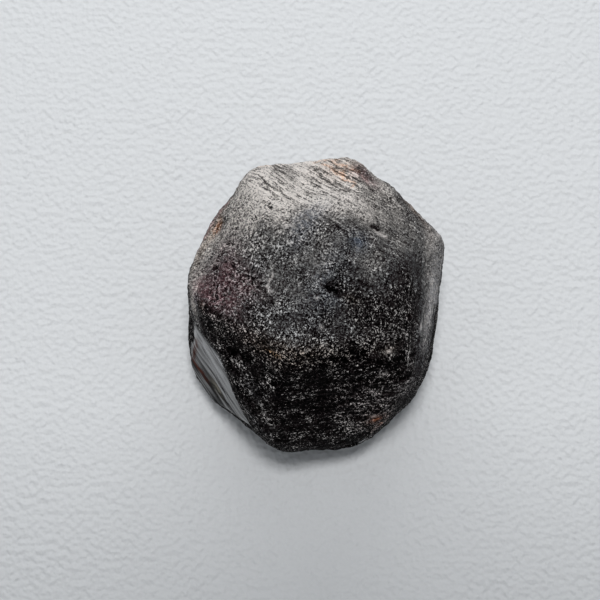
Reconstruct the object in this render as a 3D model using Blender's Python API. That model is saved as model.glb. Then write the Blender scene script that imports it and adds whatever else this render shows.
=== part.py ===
"""A garnet crystal, about 26 by 29 by 24 mm, as one solid.

A garnet grows as a ball of 24 kite-shaped faces. This one grew unevenly, was worn round along its edges,
lost a flake from one foot, and rests on the flat where it came off its rock. Each face is a plane at its own
distance from the centre of growth. In each direction from that centre, the surface is where the nearest plane
is met, taken softly so that the edges between faces come out worn. Ledges, swellings and hollows are then
added along the same directions.

Lengths are millimetres and angles are degrees until the mesh is made, which is in metres. +Z is up. A bearing
is measured in plan from +X towards +Y, and a rise is measured up from level.
"""

import itertools
import math
from collections import namedtuple

import bmesh
import bpy
import numpy as np
from mathutils import Matrix, Vector, noise

NAME = "garnet_crystal"
METRES_PER_MM = 0.001

# The crystal as a whole.
REACH = 11.3  # centre of growth to a face that grew at the usual rate
SEAT_DEPTH = 11.2  # centre of growth to the flat that it rests on
EDGE_CRISPNESS = 46  # a higher number leaves less wear along the edges

# How the crystal's own axes lie: spun about its own upright axis, then leant over towards a bearing.
SPIN = -20
LEAN = 31
LEAN_BEARING = -103

# The mesh: a ball of small triangles, thinned where the surface is flat.
BALL_SUBDIVISIONS = 7
SHARE_OF_TRIANGLES_KEPT = 0.112
SMOOTH_SHADING_ANGLE = 28

# The stone's finish: nearly black, with a little red in it.
COLOUR = (0.050, 0.042, 0.044, 1)
ROUGHNESS = 0.5

# How much further than REACH each face grew, named by its Miller indices. The rest grew the usual amount.
EXTRA_GROWTH = {
    # round the top
    (-1, 1, 2): 0.1,
    (1, -1, 2): 0.2,
    (-1, -1, 2): 0.8,
    # the far side
    (-1, 2, 1): 1.3,
    (-1, 2, -1): 2.4,
    (1, 2, 1): 1.2,
    (1, 2, -1): 1.5,
    # the right
    (2, 1, 1): 0.2,
    (2, 1, -1): 1.5,
    (2, -1, 1): 1.6,
    (2, -1, -1): 2.6,
    # the left
    (-2, 1, 1): 0.6,
    (-2, 1, -1): 1.6,
    (-2, -1, 1): 1.3,
    (-2, -1, -1): 2.2,
    # the near side
    (1, -2, 1): 3.2,
    (-1, -2, 1): 3.0,
    (1, -2, -1): 3.2,
    (-1, -2, -1): 2.8,
    # round the seat
    (1, 1, -2): 1.2,
    (-1, 1, -2): 1.2,
    (1, -1, -2): 1.5,
    (-1, -1, -2): 1.5,
}

Flat = namedtuple("Flat", "bearing rise distance")
WORN_FLATS = {
    "right flank": Flat(-7, 4, 12.1),
    "left flank": Flat(179, 3, 12.85),
    "left shoulder": Flat(156, 5, 12.95),
    "near edge": Flat(-90, 4, 14.3),
    "far right corner": Flat(56, 5, 13.35),
    "right corner": Flat(36, 4, 14.0),
    "near left foot": Flat(-126, -2, 13.75),
    "near right foot": Flat(-41, 4, 13.1),
    "right foot": Flat(-18, 3, 12.4),
}
FRESH_BREAK = Flat(-146, 13, 12.1)

# Swellings all over the grown faces: how wide they are, and how far they stand up or sink.
SWELLINGS = ((7.0, 0.30), (3.0, 0.17), (1.6, 0.08))

# The fresh break is smooth, with slow ripples like those in broken glass.
RIPPLE_WIDTH = 4.5
RIPPLE_HEIGHT = 0.16
LEAST_FACING = 0.1  # directions that face the break less than this never reach it

# Growth ledges: the bearing of their lines, the width of one tread, and its rise. With no bearing of its own,
# a ledge follows its face's zone.
Ledge = namedtuple("Ledge", "bearing tread rise")
USUAL_LEDGE = Ledge(None, 2.1, 0.16)
LEDGES = {
    (-1, 2, 1): Ledge(-24, 1.6, 0.20),
    (1, 2, 1): Ledge(-14, 1.8, 0.16),
    (-2, 1, 1): Ledge(52, 2.3, 0.12),
    (2, 1, 1): Ledge(84, 1.9, 0.14),
    (1, 1, 2): Ledge(-8, 2.7, 0.16),
    (-1, 1, 2): Ledge(-38, 3.1, 0.13),
    (1, -1, 2): Ledge(-3, 1.9, 0.16),
    (-1, -1, 2): Ledge(-62, 2.3, 0.14),
    (2, -1, 1): Ledge(40, 1.7, 0.14),
    (1, -2, 1): Ledge(2, 1.6, 0.14),
    (-1, 2, -1): Ledge(-8, 1.9, 0.18),
}
TREAD_SHARE = 0.68  # the rest of the width is the slope back down
LEDGE_WANDER = 0.9  # how far a ledge's line strays from straight
LEDGE_WANDER_WIDTH = 4.0
LEDGE_PATCH_WIDTH = 5.0  # ledges come and go in patches about this wide

# Hollows and bumps: where they are, half their length and width, how deep (a bump is below zero), and the
# bearing that their length follows.
Hollow = namedtuple("Hollow", "bearing rise half_length half_width depth along")
HOLLOWS = {
    "pit near the top": Hollow(-40, 81, 1.0, 0.6, 0.38, -20),
    "slot": Hollow(39, 55, 1.0, 0.40, 0.50, -35),
    "worn dip on the right": Hollow(-33, 51, 3.0, 1.4, 0.32, 10),
    "groove under the brow": Hollow(-66, 51, 4.6, 0.8, 0.30, -3),
    "brow": Hollow(-98, 63, 4.2, 1.1, -0.25, -8),
    "second groove": Hollow(-48, 33, 2.4, 0.7, 0.26, 5),
    "chip at the near right": Hollow(-67, -30, 1.4, 0.9, 0.30, 45),
    "notch on the far edge": Hollow(64, 31, 0.9, 1.6, 0.35, -30),
    "lump on the far edge": Hollow(88, 30, 2.0, 1.2, -0.25, 0),
    "lump at the far left": Hollow(122, 28, 2.4, 2.2, -0.95, 30),
    "corner knob": Hollow(23, 15, 1.3, 1.6, -0.20, 90),
    "dip over the left foot": Hollow(-137, 36, 2.6, 1.0, 0.22, -58),
    "dent on the left shoulder": Hollow(146, 20, 1.6, 0.9, 0.30, 50),
    "dip at the back": Hollow(95, -18, 3.4, 1.8, 0.45, 10),
    "pit at the back": Hollow(60, -12, 1.1, 0.9, 0.50, 0),
    "pit at the back left": Hollow(142, -22, 1.3, 0.9, 0.45, 60),
    "pit on the right": Hollow(4, -22, 1.0, 0.9, 0.40, 90),
    "lump low on the right": Hollow(-12, -38, 2.0, 1.3, -0.35, 60),
    "dip low at the near side": Hollow(-84, -34, 3.0, 1.4, 0.40, 5),
}


def clear_scene():
    for thing in list(bpy.data.objects):
        bpy.data.objects.remove(thing, do_unlink=True)


def new_collection(name):
    collection = bpy.data.collections.new(name)
    bpy.context.scene.collection.children.link(collection)
    return collection


def toward(bearing, rise):
    """The unit direction with this bearing and rise."""
    bearing, rise = math.radians(bearing), math.radians(rise)
    level = math.cos(rise)
    return np.array([level * math.cos(bearing), level * math.sin(bearing), math.sin(rise)])


def crystal_axes():
    """The turn from the crystal's own axes to the way it lies."""
    to_bearing = Matrix.Rotation(math.radians(LEAN_BEARING), 3, "Z")
    lean = Matrix.Rotation(math.radians(LEAN), 3, "Y")
    spin = Matrix.Rotation(math.radians(SPIN), 3, "Z")
    return np.array(to_bearing @ lean @ to_bearing.inverted() @ spin)


def miller_faces():
    """The 24 faces of a garnet's usual form: 2, 1, 1 in every order and with every sign."""
    for longest, signs in itertools.product(range(3), itertools.product((1, -1), repeat=3)):
        indices = [1, 1, 1]
        indices[longest] = 2
        yield tuple(index * sign for index, sign in zip(indices, signs))


def grown_planes(turn):
    """Names, outward normals and distances of every grown face and worn flat."""
    names, normals, distances = [], [], []
    for face in miller_faces():
        names.append(face)
        normals.append(turn @ (np.array(face) / np.linalg.norm(face)))
        distances.append(REACH + EXTRA_GROWTH.get(face, 0.0))
    for name, flat in WORN_FLATS.items():
        names.append(name)
        normals.append(toward(flat.bearing, flat.rise))
        distances.append(flat.distance)
    return names, np.array(normals), np.array(distances)


def noise_over(points, width):
    """Smooth noise between about -1 and 1 at each point, with swells about this wide."""
    return np.array([noise.noise(Vector(point) / width) for point in points])


def lines_in_face(normal, along):
    """The direction in a face that comes nearest to another direction, and the one square to it."""
    along = along - normal * (along @ normal)
    along /= np.linalg.norm(along)
    return along, np.cross(normal, along)


def zone_line(face):
    """The line that a face shares with the two twelve-sided faces beside it, where growth lines run."""
    longest = [abs(index) for index in face].index(2)
    beside = []
    for other in {0, 1, 2} - {longest}:
        neighbour = np.zeros(3)
        neighbour[longest] = np.sign(face[longest])
        neighbour[other] = np.sign(face[other])
        beside.append(neighbour)
    return np.cross(*beside)


def ledge_heights(points, across, ledge, wander):
    """A run of treads, each rising slowly and then falling back, across one face."""
    treads = (points @ across + wander) / ledge.tread
    place_on_tread = treads - np.floor(treads)
    return ledge.rise * np.interp(place_on_tread, (0, TREAD_SHARE, 1), (-0.5, 0.5, -0.5))


def hollow_depths(points, directions, surface, hollow):
    """How deep one hollow is at each point: deepest at its middle, fading smoothly to nothing."""
    middle = toward(hollow.bearing, hollow.rise)
    nearest = np.argmax(directions @ middle)
    along, across = lines_in_face(middle, toward(hollow.along, 0))
    offset = points - middle * surface[nearest]
    spread = (offset @ along / hollow.half_length) ** 2 + (offset @ across / hollow.half_width) ** 2
    same_side = directions @ middle > 0
    return np.where(same_side, hollow.depth * np.exp(-spread), 0.0)


def crystal_surface(directions):
    """How far the surface is from the centre of growth in each direction."""
    turn = crystal_axes()
    names, normals, distances = grown_planes(turn)
    nearness = np.clip(directions @ normals.T, 0, None) / distances
    weights = nearness**EDGE_CRISPNESS
    surface = weights.sum(axis=1) ** (-1 / EDGE_CRISPNESS)
    shares = weights / weights.sum(axis=1, keepdims=True)
    points = directions * surface[:, None]

    relief = sum(height * noise_over(points, width) for width, height in SWELLINGS)
    wander = LEDGE_WANDER * noise_over(points + REACH, LEDGE_WANDER_WIDTH)
    patches = np.clip(0.6 + 0.9 * noise_over(points - REACH, LEDGE_PATCH_WIDTH), 0, 1)
    for face in miller_faces():
        place = names.index(face)
        ledge = LEDGES.get(face, USUAL_LEDGE)
        along = turn @ zone_line(face) if ledge.bearing is None else toward(ledge.bearing, 0)
        _, across = lines_in_face(normals[place], along)
        relief += shares[:, place] * patches * ledge_heights(points, across, ledge, wander)
    for hollow in HOLLOWS.values():
        relief -= hollow_depths(points, directions, surface, hollow)
    grown = surface + relief

    ripples = RIPPLE_HEIGHT * noise_over(points, RIPPLE_WIDTH)
    facing_break = np.maximum(directions @ toward(FRESH_BREAK.bearing, FRESH_BREAK.rise), LEAST_FACING)
    broken = (FRESH_BREAK.distance + ripples) / facing_break
    return np.minimum(grown, broken)


def grown_mesh():
    """The crystal before its seat is cut, with its middle over the origin and the seat's level at zero."""
    ball = bmesh.new()
    bmesh.ops.create_icosphere(ball, subdivisions=BALL_SUBDIVISIONS, radius=1)
    directions = np.array([vertex.co.normalized() for vertex in ball.verts])
    points = directions * crystal_surface(directions)[:, None]
    above_seat = points[points[:, 2] > -SEAT_DEPTH]
    middle = (above_seat.min(axis=0) + above_seat.max(axis=0)) / 2
    points -= (middle[0], middle[1], -SEAT_DEPTH)
    for vertex, point in zip(ball.verts, points * METRES_PER_MM):
        vertex.co = point
    mesh = bpy.data.meshes.new(NAME)
    ball.to_mesh(mesh)
    ball.free()
    mesh.shade_smooth()
    mesh.set_sharp_from_angle(angle=math.radians(SMOOTH_SHADING_ANGLE))
    return mesh


def seat_cutter(collection):
    """A block whose top is level with the seat. It takes off all that grew below."""
    side = 4 * REACH * METRES_PER_MM
    block = bmesh.new()
    bmesh.ops.create_cube(block, size=side)
    mesh = bpy.data.meshes.new("seat_cutter")
    block.to_mesh(mesh)
    block.free()
    cutter = bpy.data.objects.new("seat_cutter", mesh)
    cutter.location.z = -side / 2
    cutter.hide_render = True
    cutter.display_type = "WIRE"
    collection.objects.link(cutter)
    return cutter


def garnet_material():
    material = bpy.data.materials.new("garnet")
    material.use_nodes = True
    shader = material.node_tree.nodes["Principled BSDF"]
    shader.inputs["Base Color"].default_value = COLOUR
    shader.inputs["Roughness"].default_value = ROUGHNESS
    shader.inputs["Metallic"].default_value = 0
    return material


def build_crystal():
    crystal = bpy.data.objects.new(NAME, grown_mesh())
    crystal.data.materials.append(garnet_material())
    new_collection("garnet crystal").objects.link(crystal)

    thin = crystal.modifiers.new("thin the flat stretches", "DECIMATE")
    thin.ratio = SHARE_OF_TRIANGLES_KEPT
    cut = crystal.modifiers.new("cut the seat", "BOOLEAN")
    cut.operation = "DIFFERENCE"
    cut.solver = "EXACT"
    cut.object = seat_cutter(new_collection("cutters"))
    return crystal


clear_scene()
build_crystal()
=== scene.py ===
# %% [markdown]
# # A garnet crystal
#
# A garnet that weathered out of its rock is one piece: a ball of kite-shaped faces, worn round along its
# edges, dull and gritty where it has been handled and buried, and glassy only where a flake has come off.
# This lesson dresses such a crystal. The solid underneath already has its real size, its faces, its
# ledges and its seat. What is made here is the fine surface, the colours and the light.
#
# Lengths are worked out in millimetres and handed to Blender in metres. +Z is up. A bearing is measured
# in plan from +X towards +Y, and a rise is measured up from level, both in degrees.

# %% Load the solid and measure it
import math
from collections import namedtuple

import bpy
import numpy as np
from mathutils import Matrix, Vector, noise


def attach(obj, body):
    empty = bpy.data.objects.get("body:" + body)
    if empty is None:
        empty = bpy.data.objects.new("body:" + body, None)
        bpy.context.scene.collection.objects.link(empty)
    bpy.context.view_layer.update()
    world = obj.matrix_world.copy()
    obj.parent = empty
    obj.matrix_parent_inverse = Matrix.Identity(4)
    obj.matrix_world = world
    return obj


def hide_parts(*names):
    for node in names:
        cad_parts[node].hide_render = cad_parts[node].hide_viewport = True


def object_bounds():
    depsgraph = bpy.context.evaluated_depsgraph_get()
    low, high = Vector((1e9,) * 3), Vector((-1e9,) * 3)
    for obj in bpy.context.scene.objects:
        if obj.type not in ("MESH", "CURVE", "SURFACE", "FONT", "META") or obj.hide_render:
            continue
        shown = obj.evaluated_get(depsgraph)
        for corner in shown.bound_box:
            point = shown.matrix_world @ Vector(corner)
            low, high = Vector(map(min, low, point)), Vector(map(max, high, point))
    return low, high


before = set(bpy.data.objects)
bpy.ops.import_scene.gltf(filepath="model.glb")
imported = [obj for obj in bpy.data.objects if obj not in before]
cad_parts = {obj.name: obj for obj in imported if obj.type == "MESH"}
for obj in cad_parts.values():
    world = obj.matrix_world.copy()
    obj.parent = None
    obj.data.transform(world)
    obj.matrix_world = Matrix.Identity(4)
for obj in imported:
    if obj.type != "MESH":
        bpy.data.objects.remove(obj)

MM = 0.001
SOLID_NAME = "garnet_crystal"

cad_low, cad_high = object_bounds()
cad_low_mm = np.array(cad_low) / MM
cad_high_mm = np.array(cad_high) / MM
middle_mm = (cad_low_mm + cad_high_mm) / 2
print("solid, in mm:", (cad_high_mm - cad_low_mm).round(2), "with its middle at", middle_mm.round(2))

# %% [markdown]
# ## Camera
#
# The crystal is seen from nearly overhead, 12 degrees short of straight down, so the far faces and the
# top show at once and the near faces fall away. A portrait lens, 14 centimetres away, keeps the stone's
# outline close to true without flattening it. The camera could be aimed with a Track To constraint. Its
# own right, up and back directions are written out instead, because they also say which way the view is
# slid.

# %% Place the camera
CAMERA_RISE = 78
LENS_MM = 85
SENSOR_MM = 36
CAMERA_DISTANCE = 142
LOOKED_AT = Vector((0.25, 0.25, 11.2))
SLIDE_RIGHT = -1.7
SLIDE_UP = 0.4
SEEN_FROM, SEEN_TO = 10, 5000  # the nearest and the furthest that the camera sees


def toward(bearing, rise):
    """The unit direction with this bearing and rise."""
    bearing, rise = math.radians(bearing), math.radians(rise)
    level = math.cos(rise)
    return np.array([level * math.cos(bearing), level * math.sin(bearing), math.sin(rise)])


def place_camera():
    right = Vector((1, 0, 0))
    back = Vector(toward(-90, CAMERA_RISE))
    up = back.cross(right)
    data = bpy.data.cameras.new("camera")
    data.lens = LENS_MM
    data.sensor_width = SENSOR_MM
    data.clip_start = SEEN_FROM * MM
    data.clip_end = SEEN_TO * MM
    camera = bpy.data.objects.new("camera", data)
    bpy.context.scene.collection.objects.link(camera)
    place = LOOKED_AT + back * CAMERA_DISTANCE + right * SLIDE_RIGHT + up * SLIDE_UP
    turn = Matrix((right, up, back)).transposed().to_4x4()
    camera.matrix_world = Matrix.Translation(place * MM) @ turn
    bpy.context.scene.camera = camera
    return camera


camera = place_camera()
print("camera at", [round(value / MM, 1) for value in camera.matrix_world.translation], "mm")

# %% [markdown]
# ## Light
#
# A dark stone shows its shape by the light that slides across it. A small panel hangs almost overhead, so
# the shadow stays short and tucked under the stone. A broad window stands low on the far side: it does
# little for the floor, but it lights the far faces, while the near faces fall into their own shade. The
# rest of the room is a pale, even surround that fills the shade and gives the glassy break something to
# reflect. Area lights are the closest thing to a panel and a window: their sizes set how soft the
# shadows' edges are, and a sun would leave them hard.

# %% Hang the lights and fill the room
Lamp = namedtuple("Lamp", "bearing rise distance width height power colour")
LAMPS = {  # lengths in millimetres, power in watts
    "panel": Lamp(88, 88, 260, 45, 45, 0.345, (1, 1, 1)),
    "window": Lamp(92, 24, 260, 260, 120, 0.205, (0.985, 0.995, 1)),
}
ROOM_COLOUR = (0.93, 0.965, 1.0, 1)
ROOM_STRENGTH = 0.33


def hang_lamp(name, lamp):
    data = bpy.data.lights.new(name, "AREA")
    data.shape = "RECTANGLE"
    data.size = lamp.width * MM
    data.size_y = lamp.height * MM
    data.energy = lamp.power
    data.color = lamp.colour
    light = bpy.data.objects.new(name, data)
    light.visible_camera = False
    bpy.context.scene.collection.objects.link(light)
    direction = Vector(toward(lamp.bearing, lamp.rise))
    light.location = (Vector(middle_mm) + direction * lamp.distance) * MM
    light.rotation_euler = direction.to_track_quat("Z", "Y").to_euler()
    return light


def fill_room():
    world = bpy.data.worlds.new("room")
    world.use_nodes = True
    background = world.node_tree.nodes["Background"]
    background.inputs["Color"].default_value = ROOM_COLOUR
    background.inputs["Strength"].default_value = ROOM_STRENGTH
    bpy.context.scene.world = world
    bpy.context.scene.view_settings.view_transform = "Standard"


lights = [hang_lamp(name, lamp) for name, lamp in LAMPS.items()]
fill_room()
print(len(lights), "lamps, room strength", ROOM_STRENGTH)

# %% [markdown]
# Whoever looks down at a stone keeps some of the light off it. A dark card does the same in a studio. It
# hangs level, just above and behind the camera, and is hidden from the camera, so it is only seen by what
# it takes away: the floor darkens gently towards the near side.

# %% Hang a dark card over the near side
CARD_LEVEL = 156  # over the floor
CARD_EDGE = -11  # where its far edge lies, along +Y
CARD_SIDE = 160
CARD_COLOUR = (0.03, 0.03, 0.03, 1)


def hang_card():
    half, level = CARD_SIDE / 2, CARD_LEVEL
    far, near = CARD_EDGE, CARD_EDGE - CARD_SIDE
    corners = [(-half, near, level), (half, near, level), (half, far, level), (-half, far, level)]
    mesh = bpy.data.meshes.new("dark card")
    mesh.from_pydata([Vector(corner) * MM for corner in corners], [], [(0, 1, 2, 3)])
    material = bpy.data.materials.new("dark card")
    material.use_nodes = True
    shader = material.node_tree.nodes["Principled BSDF"]
    shader.inputs["Base Color"].default_value = CARD_COLOUR
    shader.inputs["Roughness"].default_value = 1
    mesh.materials.append(material)
    card = bpy.data.objects.new("dark_card", mesh)
    card.visible_camera = False
    bpy.context.scene.collection.objects.link(card)
    return card


card = hang_card()
print("card", CARD_SIDE, "mm square, at", CARD_LEVEL, "mm")

# %% [markdown]
# ## Small tools for building materials
#
# Materials here are built from nodes in code. Short helpers keep that readable: they set or link a
# socket, add a sum, add noise of a stated size in millimetres, add a smooth step and blend two colours. A
# last pair opens a new group with named inputs and outputs, and places it.

# %% Define helpers for sockets and sums


def feed(tree, socket, value):
    """Link a socket to another socket, or set its own value."""
    if isinstance(value, bpy.types.NodeSocket):
        tree.links.new(value, socket)
    else:
        socket.default_value = value


def calculate(tree, operation, *values):
    """A Math node."""
    node = tree.nodes.new("ShaderNodeMath")
    node.operation = operation
    for socket, value in zip(node.inputs, values):
        feed(tree, socket, value)
    return node.outputs[0]


def calculate_vector(tree, operation, *values):
    """A Vector Math node. DOT_PRODUCT gives a number and the rest give a vector."""
    node = tree.nodes.new("ShaderNodeVectorMath")
    node.operation = operation
    sockets = [socket for socket in node.inputs if socket.type == "VECTOR"]
    if operation == "SCALE":
        sockets = [node.inputs[0], node.inputs["Scale"]]
    for socket, value in zip(sockets, values):
        feed(tree, socket, value)
    return node.outputs["Value" if operation == "DOT_PRODUCT" else "Vector"]


print("sockets and sums: feed, calculate, calculate_vector")

# %% Define helpers for noise, smooth steps and blends


def noise_of(tree, place, size, detail=2.0, roughness=0.5, distortion=0.0):
    """Noise between 0 and 1 whose swells are about this many millimetres wide."""
    node = tree.nodes.new("ShaderNodeTexNoise")
    feed(tree, node.inputs["Vector"], place)
    scale = calculate(tree, "DIVIDE", 1.0, size) if isinstance(size, bpy.types.NodeSocket) else 1 / size
    feed(tree, node.inputs["Scale"], scale)
    feed(tree, node.inputs["Detail"], detail)
    feed(tree, node.inputs["Roughness"], roughness)
    feed(tree, node.inputs["Distortion"], distortion)
    return node.outputs["Fac"]


def ramp(tree, value, low, high, to_low=0.0, to_high=1.0):
    """A smooth step from to_low, where the value is low, to to_high, where it is high."""
    node = tree.nodes.new("ShaderNodeMapRange")
    node.interpolation_type = "SMOOTHSTEP"
    names = ("Value", "From Min", "From Max", "To Min", "To Max")
    for name, given in zip(names, (value, low, high, to_low, to_high)):
        feed(tree, node.inputs[name], given)
    return node.outputs["Result"]


def blend_colours(tree, share, first, second, how="MIX"):
    """The first colour where the share is 0, and the second, or the two multiplied, where it is 1."""
    node = tree.nodes.new("ShaderNodeMix")
    node.data_type = "RGBA"
    node.blend_type = how
    sockets = {socket.identifier: socket for socket in node.inputs}
    feed(tree, sockets["Factor_Float"], share)
    feed(tree, sockets["A_Color"], first)
    feed(tree, sockets["B_Color"], second)
    return next(socket for socket in node.outputs if socket.identifier == "Result_Color")


print("patterns: noise_of, ramp, blend_colours")

# %% Define helpers for groups
SOCKET_TYPES = {"number": "NodeSocketFloat", "vector": "NodeSocketVector", "colour": "NodeSocketColor"}


def new_group(name, inputs, outputs):
    """An empty node group with named sockets, and its two end nodes."""
    group = bpy.data.node_groups.new(name, "ShaderNodeTree")
    for label, kind in inputs.items():
        group.interface.new_socket(label, in_out="INPUT", socket_type=SOCKET_TYPES[kind])
    for label, kind in outputs.items():
        group.interface.new_socket(label, in_out="OUTPUT", socket_type=SOCKET_TYPES[kind])
    given = group.nodes.new("NodeGroupInput").outputs
    made = group.nodes.new("NodeGroupOutput").inputs
    return group, given, made


def use_group(tree, group, **values):
    """Place a group. A value's name is its socket's, with _ for each space. Gives back the outputs."""
    node = tree.nodes.new("ShaderNodeGroup")
    node.node_tree = group
    for name, value in values.items():
        feed(tree, node.inputs[name.replace("_", " ")], value)
    return node.outputs


print("groups: new_group, use_group, with sockets for a", ", a ".join(SOCKET_TYPES))

# %% [markdown]
# ## Floor
#
# The stone lies on a pale painted board. The paint has the faint, even dimpling of a rolled coat, which
# catches the window at a low angle. A flat plane would look like paper, and real dimples would cost many
# faces for a floor that isn't part of the object, so the dimples are a bump made of two sizes of noise.

# %% Make the effect of a finely dimpled surface
DIMPLE_DETAIL = 0.6
PATCHES_PER_DIMPLE = 7.0  # how many dimples wide the fainter and stronger patches are


def make_dimple_group():
    inputs = {"Place": "vector", "Size": "number", "Patchiness": "number"}
    group, given, made = new_group("fine dimples", inputs, {"Height": "number"})
    close = noise_of(group, given["Place"], given["Size"], detail=DIMPLE_DETAIL)
    patch_size = calculate(group, "MULTIPLY", given["Size"], PATCHES_PER_DIMPLE)
    patches = noise_of(group, given["Place"], patch_size, detail=1.0)
    strength = calculate(group, "MULTIPLY", given["Patchiness"], patches)
    strength = calculate(group, "SUBTRACT", 1.0, strength)
    feed(group, made["Height"], calculate(group, "MULTIPLY", close, strength))
    return group


fine_dimples = make_dimple_group()
print("group:", fine_dimples.name)

# %% Lay the floor
FLOOR_SIDE = 3000
FLOOR_COLOUR = (0.80, 0.815, 0.83, 1)
FLOOR_ROUGHNESS = 0.7
FLOOR_DIMPLES = {"Size": 0.6, "Patchiness": 0.5}
FLOOR_DIMPLE_DEPTH = 0.32


def place_in_mm(tree):
    """Where on the object a shaded point is, in millimetres."""
    coordinates = tree.nodes.new("ShaderNodeTexCoord").outputs["Object"]
    return calculate_vector(tree, "SCALE", coordinates, 1 / MM)


def bump(tree, height, depth_mm):
    """A Bump node whose full height is this many millimetres."""
    node = tree.nodes.new("ShaderNodeBump")
    feed(tree, node.inputs["Height"], height)
    node.inputs["Distance"].default_value = depth_mm * MM
    node.inputs["Strength"].default_value = 1
    return node.outputs["Normal"]


def make_floor_material():
    material = bpy.data.materials.new("pale painted board")
    material.use_nodes = True
    tree = material.node_tree
    shader = tree.nodes["Principled BSDF"]
    shader.inputs["Base Color"].default_value = FLOOR_COLOUR
    shader.inputs["Roughness"].default_value = FLOOR_ROUGHNESS
    dimples = use_group(tree, fine_dimples, Place=place_in_mm(tree), **FLOOR_DIMPLES)
    feed(tree, shader.inputs["Normal"], bump(tree, dimples["Height"], FLOOR_DIMPLE_DEPTH))
    return material


def lay_floor():
    half = FLOOR_SIDE / 2 * MM
    mesh = bpy.data.meshes.new("floor")
    corners = [(-half, -half, 0), (half, -half, 0), (half, half, 0), (-half, half, 0)]
    mesh.from_pydata(corners, [], [(0, 1, 2, 3)])
    mesh.materials.append(make_floor_material())
    floor = bpy.data.objects.new("floor", mesh)
    bpy.context.scene.collection.objects.link(floor)
    return floor


floor = lay_floor()
print("floor laid, colour", FLOOR_COLOUR[:3])

# %% [markdown]
# ## The stone's surface
#
# The solid has every face, ledge and hollow down to about a millimetre, in flat triangles. A real
# garnet's skin goes on to a tenth of a millimetre: grit, growth lines and small pits. To get there the
# solid is copied, rebuilt as an even net of small squares with a voxel Remesh, and relaxed a little so
# that the old triangles stop showing. A subdivision surface would also make it finer, but it would keep
# the long thin triangles, and noise on those looks stretched. The seat is pressed flat again afterwards.

# %% Copy the solid as an even fine net
WELD_WITHIN = 0.001
NET_SIZE = 0.184
RELAX_SHARE = 0.5
RELAX_TIMES = 5
SEAT_ZONE = 0.12


def apply_modifiers(thing):
    """Make a modified shape the object's own mesh."""
    graph = bpy.context.evaluated_depsgraph_get()
    mesh = bpy.data.meshes.new_from_object(thing.evaluated_get(graph))
    old = thing.data
    thing.modifiers.clear()
    thing.data = mesh
    bpy.data.meshes.remove(old)


def read_points(mesh):
    """The mesh's points in millimetres."""
    flat = np.empty(len(mesh.vertices) * 3)
    mesh.vertices.foreach_get("co", flat)
    return flat.reshape(-1, 3) / MM


def write_points(mesh, points):
    mesh.vertices.foreach_set("co", (points * MM).ravel())
    mesh.update()


def read_normals(mesh):
    flat = np.empty(len(mesh.vertices) * 3)
    mesh.vertices.foreach_get("normal", flat)
    return flat.reshape(-1, 3)


def make_fine_net():
    stone = bpy.data.objects.new("garnet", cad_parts[SOLID_NAME].data.copy())
    bpy.context.scene.collection.objects.link(stone)
    weld = stone.modifiers.new("weld", "WELD")
    weld.merge_threshold = WELD_WITHIN * MM
    net = stone.modifiers.new("net", "REMESH")
    net.mode = "VOXEL"
    net.voxel_size = NET_SIZE * MM
    apply_modifiers(stone)
    near_seat = read_points(stone.data)[:, 2] < SEAT_ZONE
    relax = stone.modifiers.new("relax", "SMOOTH")
    relax.factor = RELAX_SHARE
    relax.iterations = RELAX_TIMES
    apply_modifiers(stone)
    points = read_points(stone.data)
    points[near_seat, 2] = 0
    points[:, 2] = np.maximum(points[:, 2], 0)
    write_points(stone.data, points)
    return stone


stone = make_fine_net()
triangles = sum(len(face.vertices) - 2 for face in stone.data.polygons)
print("net:", len(stone.data.vertices), "points,", triangles, "triangles")

# %% [markdown]
# ## Where things are on the stone
#
# Stains, pits and lines belong to places on the stone. A place is given by a bearing and a rise from the
# stone's middle, like a town on a globe, so it stays on the surface whatever the surface does. A patch is
# a soft oval around such a place: its long side follows a bearing, and it fades out like a breath on
# glass. A track runs from one such place to another, with a slight wander, and is as narrow as a crack or
# a vein.

# %% Measure the net
SEED_SHIFTS = (17.3, 5.1, 11.7)  # how far apart in the noise two seeds are read
SETTLE_TIMES = 14

points = read_points(stone.data)
normals = read_normals(stone.data)
distances = np.linalg.norm(points - middle_mm, axis=1)
directions = (points - middle_mm) / distances[:, None]


def noise_at(places, width, seed=0):
    """Smooth noise between about -1 and 1, with swells about this wide."""
    shift = Vector([seed * apart for apart in SEED_SHIFTS])
    return np.array([noise.noise(Vector(place) / width + shift) for place in places])


def smooth_step(value, low, high):
    """0 below the low value, 1 above the high one, and smooth between them."""
    share = np.clip((value - low) / (high - low), 0, 1)
    return share * share * (3 - 2 * share)


def settled_normals():
    """Normals averaged with their neighbours', so that they tell of a whole side and not of one ledge."""
    edges = np.empty(len(stone.data.edges) * 2, int)
    stone.data.edges.foreach_get("vertices", edges)
    first, second = edges.reshape(-1, 2).T
    settled = normals.copy()
    for _ in range(SETTLE_TIMES):
        summed = settled.copy()
        for axis in range(3):
            summed[:, axis] += np.bincount(first, settled[second, axis], len(settled))
            summed[:, axis] += np.bincount(second, settled[first, axis], len(settled))
        settled = summed / np.linalg.norm(summed, axis=1, keepdims=True)
    return settled


side_normals = settled_normals()
print("heights run from", points[:, 2].min().round(2), "to", points[:, 2].max().round(2), "mm")

# %% Define patches and tracks
Patch = namedtuple("Patch", "bearing rise half_length half_width along strength")
Track = namedtuple("Track", "bearing rise to_bearing to_rise half_width strength")
TRACK_STEPS = 40
TRACK_WANDER = 0.44  # how far a track strays to either side
WANDER_WIDTH = 0.8


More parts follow.
